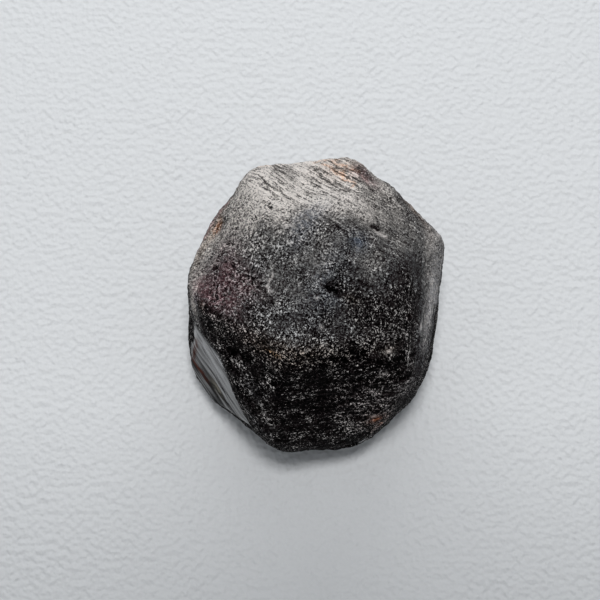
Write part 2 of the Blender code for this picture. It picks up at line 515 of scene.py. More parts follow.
def patch_share(patch):
    """How strong one patch is at each point of the net."""
    outward = toward(patch.bearing, patch.rise)
    at = points[np.argmax(directions @ outward)]
    along = toward(patch.along, 0)
    along -= outward * (along @ outward)
    along /= np.linalg.norm(along)
    offset = points - at
    spread = (offset @ along / patch.half_length) ** 2
    spread += (offset @ np.cross(outward, along) / patch.half_width) ** 2
    reach = max(patch.half_length, patch.half_width)
    near = np.exp(-np.maximum(np.abs(offset @ outward) - reach, 0) ** 2 / reach**2)
    return patch.strength * near * np.exp(-spread)


def track_share(track):
    """How strong one track is at each point of the net."""
    start = toward(track.bearing, track.rise)
    end = toward(track.to_bearing, track.to_rise)
    sideways = np.cross(start, end)
    sideways /= np.linalg.norm(sideways)
    nearest = np.full(len(points), -1.0)
    for step in range(TRACK_STEPS + 1):
        share = step / TRACK_STEPS
        at = start * (1 - share) + end * share
        place = Vector(at) * (distances.mean() / WANDER_WIDTH)
        at += sideways * noise.noise(place) * TRACK_WANDER / distances.mean()
        nearest = np.maximum(nearest, directions @ (at / np.linalg.norm(at)))
    away = np.arccos(np.clip(nearest, -1, 1)) * distances
    return track.strength * np.exp(-((away / track.half_width) ** 2))


def all_shares(marks):
    """Several patches and tracks together. They overlap like layers of paint and never pass 1."""
    bare = np.ones(len(points))
    for mark in marks:
        share = patch_share(mark) if isinstance(mark, Patch) else track_share(mark)
        bare *= 1 - np.clip(share, 0, 1)
    return 1 - bare


print("a track is read at", TRACK_STEPS + 1, "places")

# %% [markdown]
# ## The fresh break
#
# On the near left a flake has come off and left one smooth, glassy surface, and a small chip has left
# another at the near right. Everything else is weathered, so these two are kept free of grit, and they
# have to be found first. The break could be marked with a ring of hand-placed points. It is more surely
# found as the part of the stone that reaches furthest towards one direction and faces it squarely. The
# old skin still laps over its top and its upper corner.

# %% Find the fresh break
BREAK_TOWARD = (-146, 13)
BREAK_DEPTH = 0.55
BREAK_SURE_SHARE = 0.7
BREAK_FACING, BREAK_SURELY_FACING = 0.930, 0.955
SKIN_LAPS_FROM = (39, 8)
SKIN_LAP_AT = -8.9  # how far out along that direction it ends
SKIN_LAP_EDGE = 0.5
CORNER_LAPS = ((-44, 42, 8.8), (-33, 60, 10.35))  # bearing, rise, and how far out each begins
SMALL_CHIP = Patch(-68, -21, 0.85, 0.50, 25, 1.0)
CRISP = (0.30, 0.65)  # cuts a soft patch to a crisp edge

break_outward = toward(*BREAK_TOWARD)
reach = points @ break_outward
lap = points @ toward(*SKIN_LAPS_FROM)
fresh = smooth_step(side_normals @ break_outward, BREAK_FACING, BREAK_SURELY_FACING)
fresh *= smooth_step(reach, reach.max() - BREAK_DEPTH, reach.max() - BREAK_DEPTH * BREAK_SURE_SHARE)
fresh *= 1 - smooth_step(lap, SKIN_LAP_AT, SKIN_LAP_AT + SKIN_LAP_EDGE)
corner_lap = np.ones(len(points))
for bearing, rise, at in CORNER_LAPS:
    corner_lap *= smooth_step(points @ toward(bearing, rise), at, at + SKIN_LAP_EDGE)
fresh *= 1 - corner_lap
chipped = smooth_step(patch_share(SMALL_CHIP), *CRISP)
fresh = np.maximum(fresh, chipped)
print("the break and the chip cover", round(100 * fresh.mean(), 1), "% of the net")

# %% [markdown]
# ## Growth lines
#
# A garnet grows in thin layers, and the layers' edges show as fine parallel lines. On each side they run
# one way. They are pushed out of the mesh itself, because they break up the outline and the highlights
# and have to be there from any side. A row of true grooves would look machined. Noise drawn out along the
# lines, and less far into the stone as layers are, gives lines that come, go and fork, and that stay
# whole where the side curves. In a few places they are worn to grit.

# %% Find the lined sides
# Each side has the way it faces, how many degrees round that it reaches, the way its lines run, the spacing
# and depth of its lines in millimetres, the spacing of its painted lines, and how lined it is.
Side = namedtuple("Side", "bearing rise reach line_bearing line_rise spacing depth fine strength")
LINED_SIDES = {
    "far side": Side(105, 48, 34, -35, 35, 0.38, 0.060, 0.21, 1.0),
    "far right side": Side(35, 45, 30, -19, -30, 0.36, 0.030, 0.20, 0.5),
    "right side": Side(-4, 20, 17, 86, 0, 0.44, 0.035, 0.20, 0.75),
    "near side": Side(-85, 30, 30, -3, 0, 0.60, 0.080, 0.26, 0.45),
    "near left side": Side(-120, 38, 26, -70, -20, 0.70, 0.060, 0.30, 0.25),
    "back": Side(100, 5, 26, -5, 0, 0.60, 0.060, 0.26, 0.8),
}
FULLY_LINED_WITHIN = 0.6
WORN_TO_GRIT = (
    Patch(80, 55, 4.6, 1.5, -14, 0.85),
    Patch(140, 40, 3.0, 2.4, -40, 0.60),
    Patch(40, 42, 3.0, 2.0, -35, 0.50),
)

still_lined = 1 - all_shares(WORN_TO_GRIT)
side_shares = {}
for name, side in LINED_SIDES.items():
    facing = side_normals @ toward(side.bearing, side.rise)
    least, surely = (math.cos(math.radians(side.reach * share)) for share in (1, FULLY_LINED_WITHIN))
    side_shares[name] = side.strength * smooth_step(facing, least, surely) * (1 - fresh) * still_lined
    print(name, "covers", round(100 * side_shares[name].mean(), 1), "% of the net")

# %% Work out the growth lines
LINE_STRETCH = 9.0
LAYER_STRETCH = 4.0
LINE_PATCH_WIDTH, LINE_PATCH_SEED = 3.5, 20
LEAST_LINED, USUALLY_LINED, LINING_VARIES = 0.15, 0.75, 0.8


def lines_name(side_name):
    """The name under which a side's lines are painted on the mesh."""
    return "lines_" + side_name.replace(" ", "_")


def line_directions(side):
    """The way a side's lines run, and the way the layers behind them go into the stone."""
    into = toward(side.bearing, side.rise)
    along = toward(side.line_bearing, side.line_rise)
    along -= into * (along @ into)
    return along / np.linalg.norm(along), into


def stretched_along(places, along, stretch):
    """Places squeezed along one direction, so that noise read there comes out drawn along it."""
    return places - np.outer(places @ along * (1 - 1 / stretch), along)


def line_relief():
    relief = np.zeros(len(points))
    for seed, (name, side) in enumerate(LINED_SIDES.items()):
        on_side = side_shares[name] > 0
        along, into = line_directions(side)
        layers = stretched_along(points[on_side], along, LINE_STRETCH)
        lines = noise_at(stretched_along(layers, into, LAYER_STRETCH), side.spacing, seed)
        patches = noise_at(points[on_side], LINE_PATCH_WIDTH, seed + LINE_PATCH_SEED)
        patches = np.clip(USUALLY_LINED + LINING_VARIES * patches, LEAST_LINED, 1)
        relief[on_side] += side.depth * side_shares[name][on_side] * patches * lines
    return relief


lines_mm = line_relief()
print("growth lines stand", lines_mm.max().round(3), "mm proud at most")

# %% [markdown]
# ## Grit, worms, cracks and pits
#
# Between the lines the skin is etched into grit and into short, curled ridges like worm casts. Grit is
# noise at four sizes. A worm is drawn wherever smooth noise passes its middle value, since those places
# make long winding lines. Cracks, pits and two low swells are single marks, and each is placed one by one.
# A sculpted detail would do as well, but a named mark can be moved by changing one number.

# %% List the cracks and pits
CRACKS = (
    Track(-173, 35, -163, 40, 0.22, 0.8),
    Track(171, 57, -155, 66, 0.16, 0.5),
    Track(-36, 84, -27, 77, 0.17, 1.0),
    Track(1, 69, -3, 61, 0.18, 0.6),
    Track(-78, 53, -30, 22, 0.20, 0.8),
    Track(-66, 52, -54, 46, 0.30, 1.0),
    Track(-145, 31, -132, 38, 0.30, 1.0),
    Track(-95, 40, -52, 28, 0.18, 0.5),
    Track(-49, 28, -40, 20, 0.24, 0.9),
    Track(-104, 26, -66, 20, 0.18, 0.4),
    Track(109, 22, 99, 35, 0.12, 0.40),
    Track(120, 22, 105, 43, 0.12, 0.45),
    Track(93, 27, 74, 43, 0.12, 0.35),
    Track(101, 50, 88, 53, 0.12, 0.40),
    Track(84, 28, 60, 36, 0.13, 0.45),
    Track(-167, 26, -157, 20, 0.30, 0.8),
)
PITS = (
    Track(46, 51, 42, 50, 0.24, 1.0),
    Patch(-15, 35, 0.45, 0.30, 0, 0.9),
    Patch(166, 33, 0.60, 0.30, -20, 1.0),
    Patch(-155, 66, 0.30, 0.25, 0, 0.8),
    Patch(178, 62, 0.25, 0.25, 0, 0.7),
    Patch(150, 33, 0.35, 0.25, 30, 0.7),
    Patch(-73, -20, 1.1, 0.45, 15, 0.8),
)
CRACK_DEPTH = 0.15
PIT_DEPTH = 0.28

cracked = all_shares(CRACKS)
pitted = smooth_step(all_shares(PITS), *CRISP)
print(len(CRACKS), "cracks cover", round(100 * cracked.mean(), 2), "% and", len(PITS), "pits",
      round(100 * pitted.mean(), 2), "%")

# %% Work out the fine relief and press it into the net
GRIT = ((0.32, 0.045), (0.55, 0.065), (1.0, 0.080), (2.1, 0.055))  # width and height of each size of grit
WORM_WIDTH, WORM_HEIGHT, WORM_SEED = 0.75, 0.075, 9
WORM_THINNESS = 5.0
WORM_SINK = 0.4  # lowers the skin between worms, so that it keeps its average height
DIMPLE_WIDTH, DIMPLE_DEPTH, DIMPLE_SEED = 1.3, 0.09, 8
DIMPLED = (0.34, 0.62)  # the noise at a dimple's rim and at its floor
HACKLES = ((2.2, 0.030), (0.6, 0.008))  # width and height of each size of the break's streaks
HACKLE_STRETCH, HACKLE_SEED = 14.0, 30
HACKLE_ALONG = (-57, -4)
SWELLS = (  # here a patch's strength is the swell's height
    Patch(116, 24, 2.6, 2.6, 30, 0.50),
    Patch(148, 14, 3.0, 2.6, 60, 0.42),
)
SEAT_BLEND = 0.5


def grit_relief():
    relief = sum(height * noise_at(points, width, seed) for seed, (width, height) in enumerate(GRIT))
    worms = np.exp(-WORM_THINNESS * np.abs(noise_at(points, WORM_WIDTH, WORM_SEED))) - WORM_SINK
    dimples = smooth_step(noise_at(points, DIMPLE_WIDTH, DIMPLE_SEED), *DIMPLED)
    return relief + WORM_HEIGHT * worms - DIMPLE_DEPTH * dimples


def break_relief():
    places = stretched_along(points, toward(*HACKLE_ALONG), HACKLE_STRETCH)
    return sum(height * noise_at(places, width, HACKLE_SEED) for width, height in HACKLES)


skin_mm = grit_relief() + lines_mm - CRACK_DEPTH * cracked - PIT_DEPTH * pitted
relief = skin_mm * (1 - fresh) + break_relief() * fresh
relief += sum(patch_share(swell) for swell in SWELLS)
above_seat = smooth_step(points[:, 2], 0.0, SEAT_BLEND)
points = points + normals * (relief * above_seat)[:, None]
points = np.clip(points, cad_low_mm, cad_high_mm)  # no grain stands out of the solid's box
write_points(stone.data, points)
stone.data.shade_smooth()
print("relief from", relief.min().round(3), "to", relief.max().round(3), "mm")

# %% [markdown]
# ## Painting how pale the skin is
#
# The stone is one mineral, but its skin sends back anything from most of the light to a few thousandths
# of it: pale where it was rubbed and dusted, nearly black where it was not. That range is painted first,
# and everything else is laid over it. It is painted as the logarithm of the share of light that comes
# back, because that is how an eye, and a stain, count shade: halving it twice is two equal steps. The
# start is a slow change from the near faces to the far ones, partly the skin's own tone and partly painted
# light and shade: faces turned to the lamps are paler and faces turned away darker. Then each kind of wear
# pulls its own patches to its shade, and a few patches are painted light or painted shade. Level 1 would
# be white, and the dust, with a painted sheen over it, is painted past it, because the grain laid over it
# later takes light away.

# %% Paint the shade
# the side the lamps light from: faces turned this way get the paler, painted-lit level
PAINTED_LIGHT_FACING = (95, 52)
SHADED_NEAR_LEVEL, LIT_TOP_LEVEL = 0.0020, 0.090
NEAR_BELOW, TOP_ABOVE = 0.22, 0.74
# most entries below are wear, and a few are painted light or painted shade
WEAR = {  # the level that each kind of wear pulls its patches towards, and the patches
    "rubbed grey": (0.168, (
        Patch(143, 40, 5.2, 4.0, 50, 0.90),
        Patch(46, 40, 5.6, 3.0, -35, 0.90),
        Patch(26, 22, 3.6, 3.2, -45, 0.90),
        Patch(100, 45, 7.5, 4.6, -15, 0.80),
    )),
    # dust on the far faces, with a painted sheen of the window over it
    "dusty": (1.25, (
        Patch(104, 36, 5.4, 3.2, -27, 0.97),
        Patch(84, 38, 4.2, 3.4, -27, 0.92),
        Patch(88, 26, 6.2, 3.0, -8, 1.0),
        Patch(119, 28, 4.2, 3.0, 45, 0.90),
        Patch(72, 49, 3.0, 1.6, -20, 0.55),
    )),
    "rusty crest": (0.60, (
        Patch(74, 30, 3.0, 1.6, -25, 0.65),
    )),
    "end of the crest": (0.085, (
        Patch(66, 31, 1.3, 0.7, -40, 0.85),
    )),
    "tan rim": (0.40, (
        Patch(150, 14, 4.6, 2.0, 60, 0.90),
    )),
    # a paler combed strip on the right, made paler still as painted light from that side
    "combed strip and painted light": (0.66, (
        Patch(24, 20, 2.6, 2.2, -45, 0.40),
        Patch(0, 15, 8.5, 2.7, 88, 1.0),
    )),
    "left edge": (0.50, (
        Patch(-176, 20, 4.2, 1.9, 80, 0.95),
    )),
    "brow": (0.038, (
        Patch(-150, 52, 4.0, 1.8, -60, 0.60),
        Patch(-95, 65, 4.8, 2.0, 0, 0.85),
    )),
    "red corner": (0.092, (
        Patch(176, 40, 3.4, 2.2, -62, 0.80),
    )),
    "upper right of the middle": (0.230, (
        Patch(18, 62, 3.6, 2.4, -30, 0.90),
    )),
    "beside the strip": (0.100, (
        Patch(4, 36, 4.2, 1.5, 88, 0.60),
    )),
    "right shade": (0.013, (
        Patch(-20, 46, 4.4, 2.2, 60, 0.75),
    )),
    # painted shade under the brow, where the near faces turn away from the lamps
    "painted shade under the brow": (0.0020, (
        Patch(-60, 43, 5.0, 1.5, 5, 0.75),
        Patch(-140, 38, 2.0, 0.9, -40, 0.70),
    )),
    # rust on a corner that faces down, painted as bright as if well lit: painted light
    "rusty corner and painted light": (1.15, (
        Patch(-62, -1, 1.00, 1.00, 60, 1.0),
        Patch(-60, -12, 0.80, 0.80, 60, 0.75),
    )),
    "shade in the chip": (0.0015, (
        Patch(-74, -21, 1.10, 0.45, 15, 1.0),
    )),
    # a painted highlight on the small glassy chip
    "painted glint on the chip": (0.60, (
        Patch(-66, -22, 0.55, 0.50, 40, 1.0),
    )),
    "tan edge": (0.34, (
        Patch(42, 22, 2.4, 0.7, -35, 0.60),
    )),
    "rubbed near corners": (0.038, (
        Patch(-124, 22, 3.2, 1.0, -100, 0.70),
        Patch(-47, 18, 3.4, 1.8, 60, 0.90),
        Patch(-61, -3, 1.6, 1.4, 60, 0.40),
        Patch(-115, 8, 2.6, 1.0, -50, 0.50),
    )),
}
CRUMBLY = (  # where the fine grain is deeper than usual
    Patch(150, 42, 5.5, 4.0, 50, 0.35),
    Patch(-120, 60, 6.0, 2.2, -20, 0.25),
    Patch(-58, 10, 5.0, 3.0, 60, 0.30),
    Patch(-60, -18, 3.0, 2.0, 60, 0.30),
)
SMOOTHED = (  # where it is shallower
    Patch(30, 42, 5.5, 4.0, -35, 0.30),
    Patch(0, 15, 8.5, 2.7, 88, 0.40),
    Patch(86, 29, 4.8, 1.8, -15, 0.40),
    Patch(176, 40, 3.4, 2.2, -62, 0.25),
)
DRIFT = ((0.7, 0.20), (1.5, 0.45), (3.6, 0.45))  # width of the stone's own unevenness, and how far it goes
DRIFT_SEED = 40

# painted light and shade over the skin's own tone: faces turned to the lamps paler, faces turned away
# darker
lit_side_share = smooth_step(side_normals @ toward(*PAINTED_LIGHT_FACING), NEAR_BELOW, TOP_ABOVE)
shade = math.log(SHADED_NEAR_LEVEL) + math.log(LIT_TOP_LEVEL / SHADED_NEAR_LEVEL) * lit_side_share
for name, (level, patches) in WEAR.items():
    share = all_shares(patches)
    shade += (math.log(level) - shade) * share
    print(name, "covers", round(100 * share.mean(), 1), "%")
for seed, (width, most) in enumerate(DRIFT):
    shade += most * noise_at(points, width, seed + DRIFT_SEED)
print("shade from", np.exp(shade.min()).round(4), "to", np.exp(shade.max()).round(3))

# %% [markdown]
# ## Painting the stains, the sheen and the glints
#
# What is only colour is painted and not raised. Each kind of stain has its own list of patches and
# tracks, kept on the mesh as a number from 0 to 1 at each point: a red window where light gets into the
# stone, rust along the crest, amber in two corners, ochre under the brow, a painted blue-grey sheen where
# the skin would reflect the room, and a few pale flakes, with a painted highlight among them. On the
# break, fine steps show as dark lines, and its edges carry a painted glint. An image wrapped round the
# stone would hold more detail, but the net is fine enough for these, and a number on a mesh has no seams
# and moves with it.

# %% List the stains, the painted sheen and the glints
RED = (
    Patch(172, 42, 3.0, 1.8, -62, 0.60),
    Patch(-176, 36, 2.6, 1.4, -20, 0.85),
    Patch(-160, 45, 3.2, 1.0, -50, 0.35),
    Patch(180, 52, 2.0, 1.5, -30, 0.40),
    Patch(67, 32, 1.2, 0.7, -40, 0.38),
    Track(157, 8, 118, 14, 0.40, 0.45),
    Patch(-15, 35, 0.6, 0.4, 0, 0.60),
    Patch(-70, 20, 5.0, 3.5, 0, 0.20),
)
RUST = (
    Track(86, 27, 74, 36, 0.17, 0.50),
    Track(82, 26, 70, 33, 0.15, 0.45),
    Track(78, 32, 69, 41, 0.15, 0.45),
    Track(90, 24, 80, 25, 0.15, 0.45),
    Patch(76, 31, 2.4, 1.2, -25, 0.14),
    Patch(142, 16, 0.80, 0.50, 50, 1.0),
    Patch(112, 20, 0.8, 0.4, 0, 0.30),
    Patch(42, 22, 2.2, 0.5, -35, 0.30),
    Track(-159, -17, -147, -17, 0.36, 1.0),
    Track(-163, 3, -160, -14, 0.34, 0.7),
    Patch(-172, 32, 0.6, 0.4, -20, 0.6),
)
AMBER = (
    Patch(-62, -1, 1.5, 1.4, 60, 1.0),
    Patch(-60, -12, 1.2, 1.2, 60, 0.90),
    Patch(142, 16, 0.6, 0.4, 50, 0.70),
)
OCHRE = (
    Patch(-122, 51, 3.6, 1.1, -12, 0.95),
    Patch(-100, 57, 2.8, 0.9, -5, 0.70),
    Patch(-27, 71, 0.8, 0.35, -20, 0.6),
    Patch(-62, 50, 3.0, 0.8, 0, 0.35),
    Patch(150, 14, 4.0, 0.9, 60, 0.30),
    Patch(-141, -13, 1.0, 0.7, -57, 1.0),
    Patch(-40, 39, 1.4, 0.4, 0, 0.4),
)
# a painted blue-grey sheen, where the skin would reflect the pale room
BLUE_SHEEN = (
    Patch(43, 64, 0.9, 0.8, 0, 1.0),
    Patch(0, 86, 3.6, 1.6, 60, 0.40),
    Patch(100, 62, 2.4, 1.2, 60, 0.50),
    Patch(-60, 76, 2.0, 1.2, 60, 0.40),
    Patch(-115, 6, 1.8, 1.0, -50, 0.50),
    # the chip's painted bluish glint
    Patch(-66, -23, 0.6, 0.45, 40, 0.8),
    Patch(1, 13, 8.0, 2.3, 88, 0.25),
    Patch(-122, 24, 2.0, 1.2, -80, 0.45),
)
PALE_FLAKES_AND_HIGHLIGHT = (
    Track(43.5, 51.5, 35, 48.5, 0.19, 1.0),
    # a painted highlight on the rusty corner
    Patch(-63, 3, 0.50, 0.30, 60, 1.0),
    Patch(-173, 34, 0.28, 0.22, 0, 1.0),
    Track(166, 67, -177, 65, 0.16, 0.9),
    Track(-177, 65, -168, 68, 0.15, 0.8),
    Track(112, 60, 118, 57, 0.16, 0.9),
    Patch(-17, 22, 0.65, 0.40, 80, 1.0),
    Patch(-88, 81, 0.26, 0.24, 0, 1.0),
    Patch(-84, 68, 0.26, 0.24, 0, 1.0),
    Patch(-41, 39, 0.75, 0.30, 0, 1.0),
    Patch(-51, 32, 0.45, 0.26, 0, 1.0),
    Patch(-46, 17, 0.70, 0.40, 30, 0.6),
    Patch(27, 17, 0.50, 0.25, -40, 0.6),
    Patch(43, 22, 0.50, 0.25, -40, 0.5),
    Patch(-140, 33, 0.45, 0.25, -50, 0.6),
    Patch(60, 47, 1.3, 0.5, -20, 0.4),
    Patch(118, 25, 1.5, 0.3, -27, 0.4),
)
STEP_LINES = (  # on the break
    Track(-160, 18, -112, 8, 0.10, 0.8),
    Track(-150, -17, -112, -3, 0.22, 0.9),
    Track(-138, -4, -114, 2, 0.12, 0.6),
    Track(-158, 4, -138, -4, 0.12, 0.5),
    Track(-147, -9, -136, -5, 0.10, 0.8),
    Track(-146, -19, -134, -12, 0.12, 0.8),
)
# a painted highlight along the break's edges, which also adds coat there
GLINTS = (
    Track(-163, 17, -137, 19, 0.30, 0.8),
    Track(-137, 19, -122, 13, 0.28, 0.6),
    Track(-122, 12, -109, 0, 0.20, 1.0),
    Track(-158, 8, -142, 6, 0.35, 0.5),
)

RAISED_BY = 0.11  # this high above the skin's average counts as 1
MOST_RAISED = 1.5
LOW_ON_BREAK = (11.5, 7.5)  # the height where the break starts to lose its shine, and where it ends

painted = {
    "shade": shade,
    "raised": np.clip(skin_mm / RAISED_BY, -MOST_RAISED, MOST_RAISED),
    # cracks and pits, painted darker as shade inside them
    "dark": 1 - (1 - cracked) * (1 - pitted),
    "grain_depth": 1 + all_shares(CRUMBLY) - all_shares(SMOOTHED),
    "red": all_shares(RED),
    "rust": all_shares(RUST),
    "amber": all_shares(AMBER),
    "ochre": all_shares(OCHRE),
    "blue": all_shares(BLUE_SHEEN),
    # pale flakes, and one painted highlight
    "pale": all_shares(PALE_FLAKES_AND_HIGHLIGHT),
    "step_lines": all_shares(STEP_LINES) * fresh,
    "glint": all_shares(GLINTS) * fresh,
    "low_on_break": fresh * (1 - chipped) * smooth_step(points[:, 2], *LOW_ON_BREAK),
    "fresh": fresh,
}
for name, share in side_shares.items():
    painted[lines_name(name)] = share
for name, share in painted.items():
    attribute = stone.data.attributes.new(name, "FLOAT", "POINT")
    attribute.data.foreach_set("value", share.astype(np.float32))
    print(name, "averages", round(float(share.mean()), 3))

# %% [markdown]
# ## Effects that are used more than once
#
# Four effects make up the skin's finest grain, which is too fine for the mesh. Etching is noise with
# winding ridges on top. Curls are single winding lines, drawn wherever smooth noise passes its middle
# value and shown only in places. Growth lines are noise drawn out along one direction, with a few long
# creases. Sparks are painted highlights: single grains that catch the light, noise cut off at a level.
# Heights are 0 on average, so that a material can add them up. The nodes could be copied to each place
# that needs them. A group with named sockets is built once instead, and is placed again with other values.

# %% Make the effect of an etched skin
NOISE_MIDDLE, NOISE_SPREAD = 0.5, 0.1
GRAIN_DETAIL, GRAIN_WARP = 0.7, 0.4
RIDGE_DETAIL, RIDGE_WARP = 1.0, 0.9
RIDGE_SPACING = 1.9  # in grains
RIDGE_STEEPNESS = -2.2
RIDGE_HEIGHT, RIDGE_SINK = 3.4, -1.0
RIDGES_APART = (31.0, 7.0, 19.0)  # reads the ridges' noise elsewhere than the grain's


def centred_noise(tree, place, size, detail, roughness=0.5, distortion=0.0):
    """Noise that is 0 on average and mostly stays between -1 and 1."""
    found = noise_of(tree, place, size, detail, roughness, distortion)
    found = calculate(tree, "SUBTRACT", found, NOISE_MIDDLE)
    return calculate(tree, "DIVIDE", found, NOISE_SPREAD)


def make_etch_group():
    inputs = {"Place": "vector", "Size": "number", "Winding": "number"}
    group, given, made = new_group("etched skin", inputs, {"Height": "number"})
    grain = centred_noise(group, given["Place"], given["Size"], GRAIN_DETAIL, distortion=GRAIN_WARP)
    shifted = calculate_vector(group, "ADD", given["Place"], RIDGES_APART)
    spacing = calculate(group, "MULTIPLY", given["Size"], RIDGE_SPACING)
    wander = centred_noise(group, shifted, spacing, RIDGE_DETAIL, distortion=RIDGE_WARP)
    away = calculate(group, "MULTIPLY", calculate(group, "ABSOLUTE", wander), RIDGE_STEEPNESS)
    ridge = calculate(group, "MULTIPLY_ADD", calculate(group, "EXPONENT", away), RIDGE_HEIGHT, RIDGE_SINK)
    feed(group, made["Height"], calculate(group, "MULTIPLY_ADD", ridge, given["Winding"], grain))
    return group


etched_skin = make_etch_group()
print("group:", etched_skin.name)

# %% Make the effect of curls
CURL_DETAIL, CURL_WARP = 1.0, 0.8
CURLED_PATCH_WIDTH = 1.3  # in lengths of a curl
CURLED_PATCH_EDGE = 0.6
CURLED_PATCHES_APART = (11.0, 43.0, 5.0)


def make_curl_group():
    inputs = {"Place": "vector", "Length": "number", "Thickness": "number", "Level": "number"}
    group, given, made = new_group("curls", inputs, {"Mask": "number"})
    wander = centred_noise(group, given["Place"], given["Length"], CURL_DETAIL, distortion=CURL_WARP)
    line = ramp(group, calculate(group, "ABSOLUTE", wander), 0.0, given["Thickness"], 1.0, 0.0)
    shifted = calculate_vector(group, "ADD", given["Place"], CURLED_PATCHES_APART)
    wide = calculate(group, "MULTIPLY", given["Length"], CURLED_PATCH_WIDTH)
    patches = centred_noise(group, shifted, wide, CURL_DETAIL)
    surely = calculate(group, "ADD", given["Level"], CURLED_PATCH_EDGE)
    shown = ramp(group, patches, given["Level"], surely)
    feed(group, made["Mask"], calculate(group, "MULTIPLY", line, shown))
    return group


curls = make_curl_group()
print("group:", curls.name)

# %% Make the effect of growth lines
LINE_DETAIL, LINE_ROUGHNESS = 1.5, 0.6
CREASE_DETAIL = 2.0
CREASE_SPACING = 2.0  # in spacings of the lines
CREASE_THICKNESS = 0.32
CREASES_APART = (23.0, 3.0, 41.0)


def squeeze(tree, place, direction, stretch):
    """Places squeezed along one direction, so that noise read there comes out drawn along it."""
    distance = calculate_vector(tree, "DOT_PRODUCT", place, direction)
    kept = calculate(tree, "SUBTRACT", 1.0, calculate(tree, "DIVIDE", 1.0, stretch))
    back = calculate_vector(tree, "SCALE", direction, calculate(tree, "MULTIPLY", distance, kept))
    return calculate_vector(tree, "SUBTRACT", place, back)


def make_line_group():
    inputs = {"Place": "vector", "Along": "vector", "Into": "vector"}
    inputs.update({"Spacing": "number", "Stretch": "number"})
    group, given, made = new_group("growth lines", inputs, {"Height": "number", "Crease": "number"})
    squeezed = squeeze(group, given["Place"], given["Along"], given["Stretch"])
    squeezed = squeeze(group, squeezed, given["Into"], LAYER_STRETCH)
    lines = centred_noise(group, squeezed, given["Spacing"], LINE_DETAIL, LINE_ROUGHNESS)
    feed(group, made["Height"], lines)
    shifted = calculate_vector(group, "ADD", squeezed, CREASES_APART)
    wide = calculate(group, "MULTIPLY", given["Spacing"], CREASE_SPACING)
    wander = centred_noise(group, shifted, wide, CREASE_DETAIL, LINE_ROUGHNESS)
    crease = ramp(group, calculate(group, "ABSOLUTE", wander), 0.0, CREASE_THICKNESS, 1.0, 0.0)
    feed(group, made["Crease"], crease)
    return group


growth_lines = make_line_group()
print("group:", growth_lines.name)

# %% Make the effect of sparks
SPARK_DETAIL = 0.5
SPARK_EDGE = 0.7


def make_spark_group():
    inputs = {"Place": "vector", "Size": "number", "Level": "number"}
    group, given, made = new_group("sparks", inputs, {"Mask": "number"})
    grains = centred_noise(group, given["Place"], given["Size"], SPARK_DETAIL)
    surely = calculate(group, "ADD", given["Level"], SPARK_EDGE)
    feed(group, made["Mask"], ramp(group, grains, given["Level"], surely))
    return group


sparks = make_spark_group()
print("group:", sparks.name)

# %% [markdown]
# ## The garnet's fine grain
#
# Where a side has no growth lines, its skin is etched and curled. Where it has, the lines take over. The
# relief that was pressed into the net is added, so that the grain knows what stands proud there. One
# number comes out, above 0 on ridges and below 0 in valleys, and both the colour and the bump are made
# from it, so the colour darkens the valleys with a painted shade. Two separate patterns would be simpler
# to tune, but then the pale specks would not sit on the ridges.

# %% Add up the fine grain
Etching = namedtuple("Etching", "size winding weight")
Curl = namedtuple("Curl", "length thickness level weight")
ETCHINGS = (
    Etching(0.23, 1.3, 0.9),
    Etching(0.135, 0.9, 1.2),
)
CURLS = (
    Curl(0.42, 0.40, 0.2, 2.2),
    Curl(0.80, 0.22, 0.3, 2.4),
    Curl(0.60, 0.30, 0.1, -2.4),
    Curl(1.10, 0.18, -0.1, -2.4),
)
CURLS_APART = (7.0, 9.0, 3.0)
PAINTED_LINE_STRETCH = 15.0
CREASE_WEIGHT = -1.8
LINE_WEIGHT = 1.75
RAISED_WEIGHT = 0.55
ETCHING_LOST_TO_LINES = -0.35


def read_share(tree, name):
    """A number painted on the mesh."""
    node = tree.nodes.new("ShaderNodeAttribute")
    node.attribute_name = name
    return node.outputs["Fac"]


def lay_lines(tree, place, share):
    """Every side's growth lines together, each only on its own side, and how lined each place is."""
    lined, lining = 0.0, 0.0
    for name, side in LINED_SIDES.items():
        along, into = (tuple(direction) for direction in line_directions(side))
        run = {"Along": along, "Into": into, "Spacing": side.fine, "Stretch": PAINTED_LINE_STRETCH}
        lines = use_group(tree, growth_lines, Place=place, **run)
        height = calculate(tree, "MULTIPLY_ADD", lines["Crease"], CREASE_WEIGHT, lines["Height"])
        on_side = share[lines_name(name)]
        lined = calculate(tree, "MULTIPLY_ADD", height, on_side, lined)
        lining = calculate(tree, "ADD", on_side, lining)
    return lined, lining


def etch(tree, place):
    """Both sizes of etching with the curls on top, some raised and some sunk."""
    etched = 0.0
    for etching in ETCHINGS:
        look = {"Size": etching.size, "Winding": etching.winding}
        height = use_group(tree, etched_skin, Place=place, **look)["Height"]
        etched = calculate(tree, "MULTIPLY_ADD", height, etching.weight, etched)
    for curl in CURLS:
        shift = (curl.weight * CURLS_APART[0], curl.length * CURLS_APART[1], CURLS_APART[2])
        moved = calculate_vector(tree, "ADD", place, shift)
        look = {"Length": curl.length, "Thickness": curl.thickness, "Level": curl.level}
        mask = use_group(tree, curls, Place=moved, **look)["Mask"]
        etched = calculate(tree, "MULTIPLY_ADD", mask, curl.weight, etched)
    return etched


def grain_of(tree, place, share):
    """The skin's fine grain: etching where there are no lines, and mostly lines where there are."""
    lined, lining = lay_lines(tree, place, share)
    kept = calculate(tree, "MULTIPLY_ADD", lining, ETCHING_LOST_TO_LINES, 1.0)
    grain = calculate(tree, "MULTIPLY", etch(tree, place), kept)
    grain = calculate(tree, "MULTIPLY_ADD", lined, LINE_WEIGHT, grain)
    return calculate(tree, "MULTIPLY_ADD", share["raised"], RAISED_WEIGHT, grain)


print(len(ETCHINGS), "etchings,", len(CURLS), "sets of curls and", len(LINED_SIDES), "lined sides")
